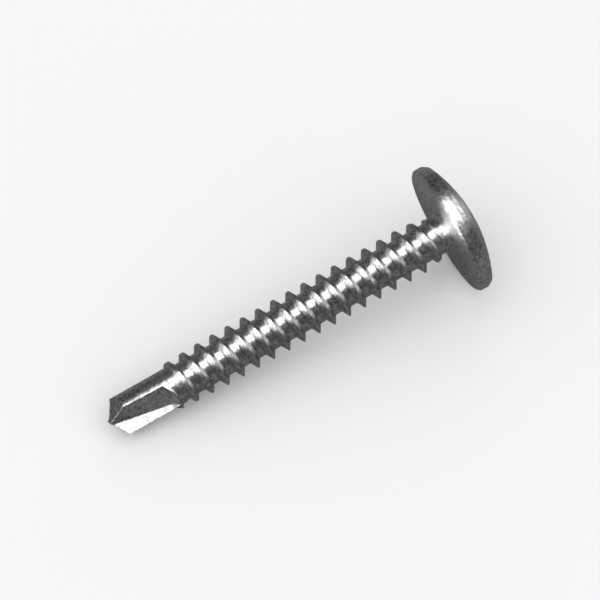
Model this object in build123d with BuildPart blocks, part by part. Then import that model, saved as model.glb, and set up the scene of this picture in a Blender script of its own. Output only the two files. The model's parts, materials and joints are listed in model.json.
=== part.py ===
from build123d import *
import os
from math import atan2, ceil, cos, floor, radians, sin, tan

# A self-drilling screw with a wide, low domed head, made as one piece of steel. It lies as it comes to
# rest on a flat surface: the edge of its head and the corner of its drill point touch the surface, with
# the head towards +X. The origin is on the surface, under the middle of the screw.
# Sizes are in millimetres and angles in degrees. Each value in this first part can be set by itself.

# head
head_diameter = 11.05
rim_thickness = 1.12
rim_top_bevel = 0.3
rim_foot_bevel = 0.2
dome_height = 1.36
under_head_fillet = 0.8

# cross recess, size 2: widths are at the top of the dome, slopes are from the screw's axis
recess_depth = 2.1
wing_span = 4.6
wing_thickness = 1.1
wing_end_slope = 26.5
wing_side_slope = 3.5
recess_core_diameter = 2.1
recess_core_slope = 14.0
recess_floor_slope = 62.0

# shank
length_under_head = 31.25
core_diameter = 2.93

# thread, right hand, with one start; heights are from the tip, and a crest passes over +X at crest_height
thread_diameter = 4.2
thread_pitch = 25.4 / 18
thread_angle = 60.0
crest_width = 0.12
crest_height = 7.79
thread_start = 5.3
lead_in_diameter = 3.85
lead_in_slope = 32.0
full_thread_start = 10.2
full_thread_end = 28.6
thread_end = 31.1

# drill point with two flutes; the root is the bottom corner of a flute
drill_diameter = 3.25
drill_length = 6.2
shoulder_length = 0.5
point_angle = 112.0
chisel_angle = 46.0
flute_length = 5.05
flute_end_slope = 60.0
root_offset = 0.22
root_offset_at_end = 1.15
root_radius = 0.1
rake_angle = 5.0
heel_angle = 65.0
heel_angle_at_end = 71.0
margin_width = 0.2
margin_step = 0.05

# how far the cutting lips are turned from level about the screw's axis
roll_angle = 28.2

# how far cutters stand out of what they cut, and how deep the thread's foot is set into the core
overlap = 0.12

# sizes that follow from these
head_radius = head_diameter / 2
core_radius = core_diameter / 2
crest_radius = thread_diameter / 2
drill_radius = drill_diameter / 2
rim_top = length_under_head + rim_thickness
head_top = rim_top + dome_height
dome_radius = (head_radius**2 + dome_height**2) / (2 * dome_height)


def slope(angle):
    """How far a line at this angle from the axis moves outwards for each millimetre along it."""
    return tan(radians(angle))


def thread_width(radius):
    """Width of the thread's section at a distance from the axis."""
    return crest_width + 2 * (crest_radius - radius) * slope(thread_angle / 2)


# The thread: half a turn of its tooth, repeated along the screw, then cut to its lead-in and its run-out.
half_pitch = thread_pitch / 2
foot_radius = core_radius - overlap
tooth_reach = thread_width(foot_radius) / 2
first_half_turn = floor((thread_start - tooth_reach - crest_height) / half_pitch)
last_half_turn = ceil((thread_end + tooth_reach - crest_height) / half_pitch)
lead_in_end = thread_start + (lead_in_diameter - drill_diameter) / 2 / slope(lead_in_slope)

with BuildPart() as half_turn:
    with BuildLine():
        Helix(pitch=thread_pitch, height=half_pitch, radius=core_radius)
    with BuildSketch(Plane.XZ):
        with BuildLine():
            Polyline(
                (foot_radius, -tooth_reach),
                (crest_radius, -crest_width / 2),
                (crest_radius, crest_width / 2),
                (foot_radius, tooth_reach),
                close=True,
            )
        make_face()
    sweep(is_frenet=True)

with BuildPart() as thread:
    for count in range(first_half_turn, last_half_turn):
        with Locations(Location((0, 0, crest_height + count * half_pitch), (0, 0, 180 * count))):
            add(half_turn.part)
    with BuildSketch(Plane.XZ):
        with BuildLine():
            Polyline(
                (0, thread_start),
                (drill_radius, thread_start),
                (lead_in_diameter / 2, lead_in_end),
                (crest_radius, full_thread_start),
                (crest_radius + overlap, full_thread_start + overlap),
                (crest_radius + overlap, full_thread_end - overlap),
                (crest_radius, full_thread_end),
                (core_radius, thread_end),
                (0, thread_end),
                close=True,
            )
        make_face()
    revolve(axis=Axis.Z, mode=Mode.INTERSECT)


def flute_section(plane, root, heel, lift=0.0):
    """A flute's section on a plane across the screw: heel wall, root, rake face and the lip's margin.

    The flute opens towards the plane's +Y. Its root is this far to -X from the axis, and its heel wall
    meets the drill body at the heel's angle from +X. The lift moves the section out of the body.
    """
    reach = 3 * drill_diameter
    wall = atan2(drill_radius * sin(radians(heel)), drill_radius * cos(radians(heel)) + root)
    rake = radians(180 - rake_angle)
    opening = (wall + rake) / 2
    margin = drill_radius - margin_width - root
    corner = Vector(-root, 0) + Vector(cos(opening), sin(opening)) * lift
    step = corner + Vector(cos(rake), sin(rake)) * margin
    with BuildSketch(plane) as section:
        with BuildLine():
            Polyline(
                corner + Vector(cos(wall), sin(wall)) * reach,
                corner,
                step,
                step + Vector(0, margin_step),
                step + Vector(0, margin_step) + Vector(cos(rake), sin(rake)) * reach,
                close=True,
            )
        face = make_face()
        fillet(face.vertices().sort_by_distance(corner)[0], root_radius)
    return section.sketch


# One wing of the cross recess, from side to side: a bar whose ends and sides lean inwards as they go down.
top = Plane.XY.offset(head_top)
with BuildPart() as wing:
    with BuildSketch(top.offset(-recess_depth)):
        Rectangle(wing_span, wing_thickness)
    extrude(amount=recess_depth + overlap)
    draft(faces().filter_by(Axis.X), top, -wing_end_slope)
    draft(faces().filter_by(Axis.Y), top, -wing_side_slope)

with BuildPart() as upright:
    # blank: the drill body, the core and the head with its dome
    with BuildSketch(Plane.XZ):
        with BuildLine():
            Polyline(
                (0, -overlap),
                (drill_radius, -overlap),
                (drill_radius, drill_length),
                (core_radius, drill_length + shoulder_length),
                (core_radius, length_under_head),
                (head_radius, length_under_head),
                (head_radius, rim_top),
            )
            RadiusArc((head_radius, rim_top), (0, head_top), -dome_radius)
            Line((0, head_top), (0, -overlap))
        make_face()
        fillet(vertices().sort_by_distance((core_radius, length_under_head))[0], under_head_fillet)
        chamfer(vertices().sort_by_distance((head_radius, length_under_head))[0], rim_foot_bevel)
        chamfer(vertices().sort_by_distance((head_radius, rim_top))[0], rim_top_bevel)
    revolve(axis=Axis.Z)
    add(thread.part)

    # flutes, which climb out of the body at their ends
    flute_end_lift = drill_diameter
    flute_end_length = flute_end_lift / slope(flute_end_slope)
    for turn in (0, 180):
        across = Plane.XY.rotated((0, 0, turn))
        first = flute_section(across.offset(-overlap), root_offset, heel_angle)
        last = flute_section(across.offset(flute_length), root_offset_at_end, heel_angle_at_end)
        lifted = flute_section(
            across.offset(flute_length + flute_end_length),
            root_offset_at_end,
            heel_angle_at_end,
            flute_end_lift,
        )
        loft([first, last, lifted], ruled=True, mode=Mode.SUBTRACT)

    # point: two flat flanks, which meet in the chisel edge
    lip_slope = 1 / slope(point_angle / 2)
    relief_slope = lip_slope * slope(chisel_angle)
    for side in (1, -1):
        flank = Plane(origin=(0, 0, 0), z_dir=(-side * lip_slope, -side * relief_slope, 1))
        split(bisect_by=flank, keep=Keep.TOP)

    # cross recess
    for turn in (0, 90):
        add(wing.part, rotation=(0, 0, turn), mode=Mode.SUBTRACT)
    recess_core_radius = recess_core_diameter / 2
    floor_radius = recess_core_radius - recess_depth * slope(recess_core_slope)
    recess_floor = head_top - recess_depth
    with BuildSketch(Plane.XZ):
        with BuildLine():
            Polyline(
                (0, head_top + overlap),
                (recess_core_radius + overlap * slope(recess_core_slope), head_top + overlap),
                (floor_radius, recess_floor),
                (0, recess_floor - floor_radius / slope(recess_floor_slope)),
                close=True,
            )
        make_face()
    revolve(axis=Axis.Z, mode=Mode.SUBTRACT)

# Rest: the head's edge and the drill point's corner, or the thread, touch the surface.
down = radians(270 - roll_angle)
corner_height = drill_radius * abs(lip_slope * cos(down) + relief_slope * sin(down))
rim_foot = length_under_head + rim_foot_bevel
tilt = min(
    atan2(head_radius - drill_radius, rim_foot - corner_height),
    atan2(head_radius - crest_radius, rim_foot - full_thread_start),
)
roll = radians(roll_angle)
resting_length = (head_top - dome_radius) * cos(tilt) + dome_radius
resting = Plane(
    origin=(-resting_length / 2, 0, head_radius * cos(tilt) - rim_foot * sin(tilt)),
    x_dir=(-sin(tilt) * sin(roll), cos(roll), cos(tilt) * sin(roll)),
    z_dir=(cos(tilt), 0, sin(tilt)),
)
with BuildPart(resting) as screw:
    add(upright.part)
screw.part.label = "screw"

os.makedirs("parts", exist_ok=True)
export_step(screw.part, "parts/screw.step")
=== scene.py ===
"""A self-drilling screw, lying on a pale floor under soft studio light.

Lengths are in metres and angles in degrees. The camera and the lights stand in a direction as seen
from the screw: azimuth 0 is in front of it, 90 is beyond its head and -90 beyond its tip.
"""
import json
from math import radians

import bpy
from mathutils import Matrix, Vector

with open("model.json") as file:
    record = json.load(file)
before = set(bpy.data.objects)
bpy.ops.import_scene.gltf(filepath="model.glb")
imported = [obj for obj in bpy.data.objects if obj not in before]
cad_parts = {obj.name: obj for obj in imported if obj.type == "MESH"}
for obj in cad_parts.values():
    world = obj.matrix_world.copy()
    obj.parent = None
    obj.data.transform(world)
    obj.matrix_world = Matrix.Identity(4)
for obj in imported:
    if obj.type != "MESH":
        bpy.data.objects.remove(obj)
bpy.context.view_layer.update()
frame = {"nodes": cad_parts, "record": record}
MM = 0.001

# the screw's tip, the direction from it to the head, and the middle of all that is under the head
mounts = {mount["name"]: mount for mount in frame["record"]["mounts"]}
TIP = Vector(mounts["drill_point"]["pos_m"])
AXIS = -Vector(mounts["drill_point"]["axis"])
LENGTH_UNDER_HEAD = (Vector(mounts["under_head"]["pos_m"]) - TIP).dot(AXIS)
SCREW_MIDDLE = TIP + AXIS * LENGTH_UNDER_HEAD / 2

# camera: where it stands, and how far it aims right of and above the screw's middle, in its view
CAMERA_AZIMUTH = -29.58
CAMERA_ELEVATION = 60.23
CAMERA_DISTANCE = 480 * MM
AIM_RIGHT = 1.775 * MM
AIM_UP = 2.159 * MM

# camera: the width that fills its picture at that distance, and the range that it sees
FRAME_WIDTH = 48.06 * MM
SENSOR_WIDTH_IN_MM = 36
NEAR_LIMIT = 0.01
FAR_LIMIT = 10

# steel: blotches in its colour, and the part of their noise that goes from dark to light
BLOTCHES_PER_METRE = 3800
BLOTCH_DETAIL = 4
BLOTCH_ROUGHNESS = 0.6
BLOTCH_RANGE = (0.36, 0.64)
DARK_ZINC = (0.29, 0.29, 0.293, 1)
LIGHT_ZINC = (0.69, 0.69, 0.695, 1)

# steel: grain in its roughness and its bump, and the part of the noise that the roughness follows
GRAINS_PER_METRE = 5000
GRAIN_DETAIL = 3
GRAIN_ROUGHNESS = 0.5
GRAIN_RANGE = (0.3, 0.7)
ROUGHNESS_RANGE = (0.36, 0.5)
BUMP_STRENGTH = 0.6
BUMP_HEIGHT = 0.01 * MM

# steel: how much its highlights are drawn out, and how far their direction leans outwards
STRETCH = 0.9
OUTWARD_SHARE = 0.3

# steel: the rounding of its sharp edges, in shading only
EDGE_RADIUS = 0.06 * MM
EDGE_SAMPLES = 6

# floor and room: each has one colour for the camera and the light, and one for the steel to reflect
FLOOR_SIZE = 1.2
FLOOR_COLOUR = (0.93, 0.93, 0.93, 1)
# painted shade: the floor shows this darker grey only in the steel's reflections
PAINTED_SHADE_FLOOR_REFLECTION = (0.24, 0.24, 0.24, 1)
FLOOR_ROUGHNESS = 0.9
FLOOR_SPECULAR = 0.1
ROOM_COLOUR = (1, 1, 1, 1)
REFLECTED_ROOM_COLOUR = (0.12, 0.12, 0.12, 1)


def set_inputs(tree, node, inputs):
    """Sets a node's inputs to values, or links sockets to them."""
    for name, value in inputs.items():
        if isinstance(value, bpy.types.NodeSocket):
            tree.links.new(value, node.inputs[name])
        else:
            node.inputs[name].default_value = value


def add_node(tree, kind, inputs, **settings):
    """A new shader node with its settings and its inputs."""
    node = tree.nodes.new("ShaderNode" + kind)
    for name, value in settings.items():
        setattr(node, name, value)
    set_inputs(tree, node, inputs)
    return node


def noise(tree, place, scale, detail, roughness):
    """Cloudy noise around 0.5, with this many clouds to the metre."""
    inputs = {"Vector": place, "Scale": scale, "Detail": detail, "Roughness": roughness}
    return add_node(tree, "TexNoise", inputs).outputs["Fac"]


def rescaled(tree, value, source, target):
    """A value moved from the source range to the target range, and kept inside that."""
    inputs = {
        "Value": value,
        "From Min": source[0],
        "From Max": source[1],
        "To Min": target[0],
        "To Max": target[1],
    }
    return add_node(tree, "MapRange", inputs).outputs["Result"]


def mixed_colour(tree, share, first, second):
    """A colour between two others, with this share of the second."""
    inputs = {"Factor": share, "A": first, "B": second}
    return add_node(tree, "Mix", inputs, data_type="RGBA").outputs["Result"]


def vector_math(tree, operation, *operands):
    """The result of an operation on vectors."""
    return add_node(tree, "VectorMath", dict(enumerate(operands)), operation=operation).outputs[0]


def across_marks(tree, place):
    """Direction across the marks of rolling and turning, in which highlights are drawn out.

    It runs along the screw, with a share that points outwards from its axis. Only that share lies
    in the surface where a face is square to the axis.
    """
    from_tip = vector_math(tree, "SUBTRACT", place, TIP)
    around = vector_math(tree, "CROSS_PRODUCT", AXIS, from_tip)
    outward = vector_math(tree, "NORMALIZE", vector_math(tree, "CROSS_PRODUCT", around, AXIS))
    return vector_math(tree, "MULTIPLY_ADD", outward, (OUTWARD_SHARE,) * 3, AXIS)


def steel_material():
    """Bright zinc-plated steel: blotches of grey, with fine grain in its roughness and its bump."""
    material = bpy.data.materials.new("zinc_plated_steel")
    material.use_nodes = True
    tree = material.node_tree
    place = add_node(tree, "TexCoord", {}).outputs["Object"]
    blotches = noise(tree, place, BLOTCHES_PER_METRE, BLOTCH_DETAIL, BLOTCH_ROUGHNESS)
    grain = noise(tree, place, GRAINS_PER_METRE, GRAIN_DETAIL, GRAIN_ROUGHNESS)
    light_share = rescaled(tree, blotches, BLOTCH_RANGE, (0, 1))
    edges = add_node(tree, "Bevel", {"Radius": EDGE_RADIUS}, samples=EDGE_SAMPLES)
    bump_inputs = {
        "Height": grain,
        "Strength": BUMP_STRENGTH,
        "Distance": BUMP_HEIGHT,
        "Normal": edges.outputs["Normal"],
    }
    shader_inputs = {
        "Base Color": mixed_colour(tree, light_share, DARK_ZINC, LIGHT_ZINC),
        "Metallic": 1,
        "Roughness": rescaled(tree, grain, GRAIN_RANGE, ROUGHNESS_RANGE),
        "Normal": add_node(tree, "Bump", bump_inputs).outputs["Normal"],
        "Anisotropic": STRETCH,
        "Tangent": across_marks(tree, place),
    }
    set_inputs(tree, tree.nodes["Principled BSDF"], shader_inputs)
    return material


def seen_or_reflected(tree, seen, reflected):
    """One colour for the camera and for light that falls on things, and another for reflections."""
    is_reflection = add_node(tree, "LightPath", {}).outputs["Is Glossy Ray"]
    return mixed_colour(tree, is_reflection, seen, reflected)


def floor_material():
    """Matt pale floor that shows darker, as painted shade, in the steel's reflections."""
    material = bpy.data.materials.new("pale_floor_painted_dark_in_reflections")
    material.use_nodes = True
    tree = material.node_tree
    shader_inputs = {
        # painted shade: a darker floor colour that only the steel's reflections see
        "Base Color": seen_or_reflected(tree, FLOOR_COLOUR, PAINTED_SHADE_FLOOR_REFLECTION),
        "Roughness": FLOOR_ROUGHNESS,
        "Specular IOR Level": FLOOR_SPECULAR,
    }
    set_inputs(tree, tree.nodes["Principled BSDF"], shader_inputs)
    return material


def add_floor():
    """A flat square under the screw."""
    half = FLOOR_SIZE / 2
    corners = [(-half, -half, 0), (half, -half, 0), (half, half, 0), (-half, half, 0)]
    mesh = bpy.data.meshes.new("floor")
    mesh.from_pydata(corners, [], [(0, 1, 2, 3)])
    floor = bpy.data.objects.new("floor", mesh)
    bpy.context.scene.collection.objects.link(floor)
    mesh.materials.append(floor_material())


def add_room():
    """A white room all round, which lights the floor evenly and looks darker in the steel."""
    world = bpy.data.worlds.new("studio")
    bpy.context.scene.world = world
    world.use_nodes = True
    tree = world.node_tree
    colour = seen_or_reflected(tree, ROOM_COLOUR, REFLECTED_ROOM_COLOUR)
    set_inputs(tree, tree.nodes["Background"], {"Color": colour})


def facing_screw(azimuth, elevation):
    """Rotation of a camera or light that stands in this direction, with its X axis level."""
    turned = Matrix.Rotation(radians(azimuth), 4, "Z")
    tilted = Matrix.Rotation(radians(90 - elevation), 4, "X")
    return turned @ tilted


def add_camera():
    """The camera of the photograph."""
    lens = bpy.data.cameras.new("camera")
    lens.sensor_width = SENSOR_WIDTH_IN_MM
    lens.lens = SENSOR_WIDTH_IN_MM * CAMERA_DISTANCE / FRAME_WIDTH
    lens.clip_start, lens.clip_end = NEAR_LIMIT, FAR_LIMIT
    camera = bpy.data.objects.new("camera", lens)
    bpy.context.scene.collection.objects.link(camera)
    bpy.context.scene.camera = camera
    turn = facing_screw(CAMERA_AZIMUTH, CAMERA_ELEVATION)
    place = SCREW_MIDDLE + turn @ Vector((AIM_RIGHT, AIM_UP, CAMERA_DISTANCE))
    camera.matrix_world = Matrix.Translation(place) @ turn


def add_softbox(name, azimuth, elevation, distance, size, power):
    """An area light that shows in the steel's reflections and casts no light on the floor.

    The size gives its level side first. The power is in watts.
    """
    light = bpy.data.lights.new(name, "AREA")
    light.shape = "RECTANGLE"
    light.size, light.size_y = size
    light.energy = power
    lamp = bpy.data.objects.new(name, light)
    bpy.context.scene.collection.objects.link(lamp)
    lamp.visible_diffuse = False
    turn = facing_screw(azimuth, elevation)
    lamp.matrix_world = turn @ Matrix.Translation((0, 0, distance))


steel = steel_material()
for part in frame["nodes"].values():
    part.data.materials.clear()
    part.data.materials.append(steel)

add_floor()
add_room()
add_camera()
add_softbox("overhead", azimuth=-90, elevation=70, distance=0.6, size=(0.42, 0.7), power=7)
add_softbox("tip_side", azimuth=-80, elevation=10, distance=0.5, size=(0.22, 0.14), power=1.3)
add_softbox("head_side", azimuth=90, elevation=38, distance=0.5, size=(0.35, 0.2), power=0.35)
bpy.context.scene.view_settings.view_transform = "Standard"
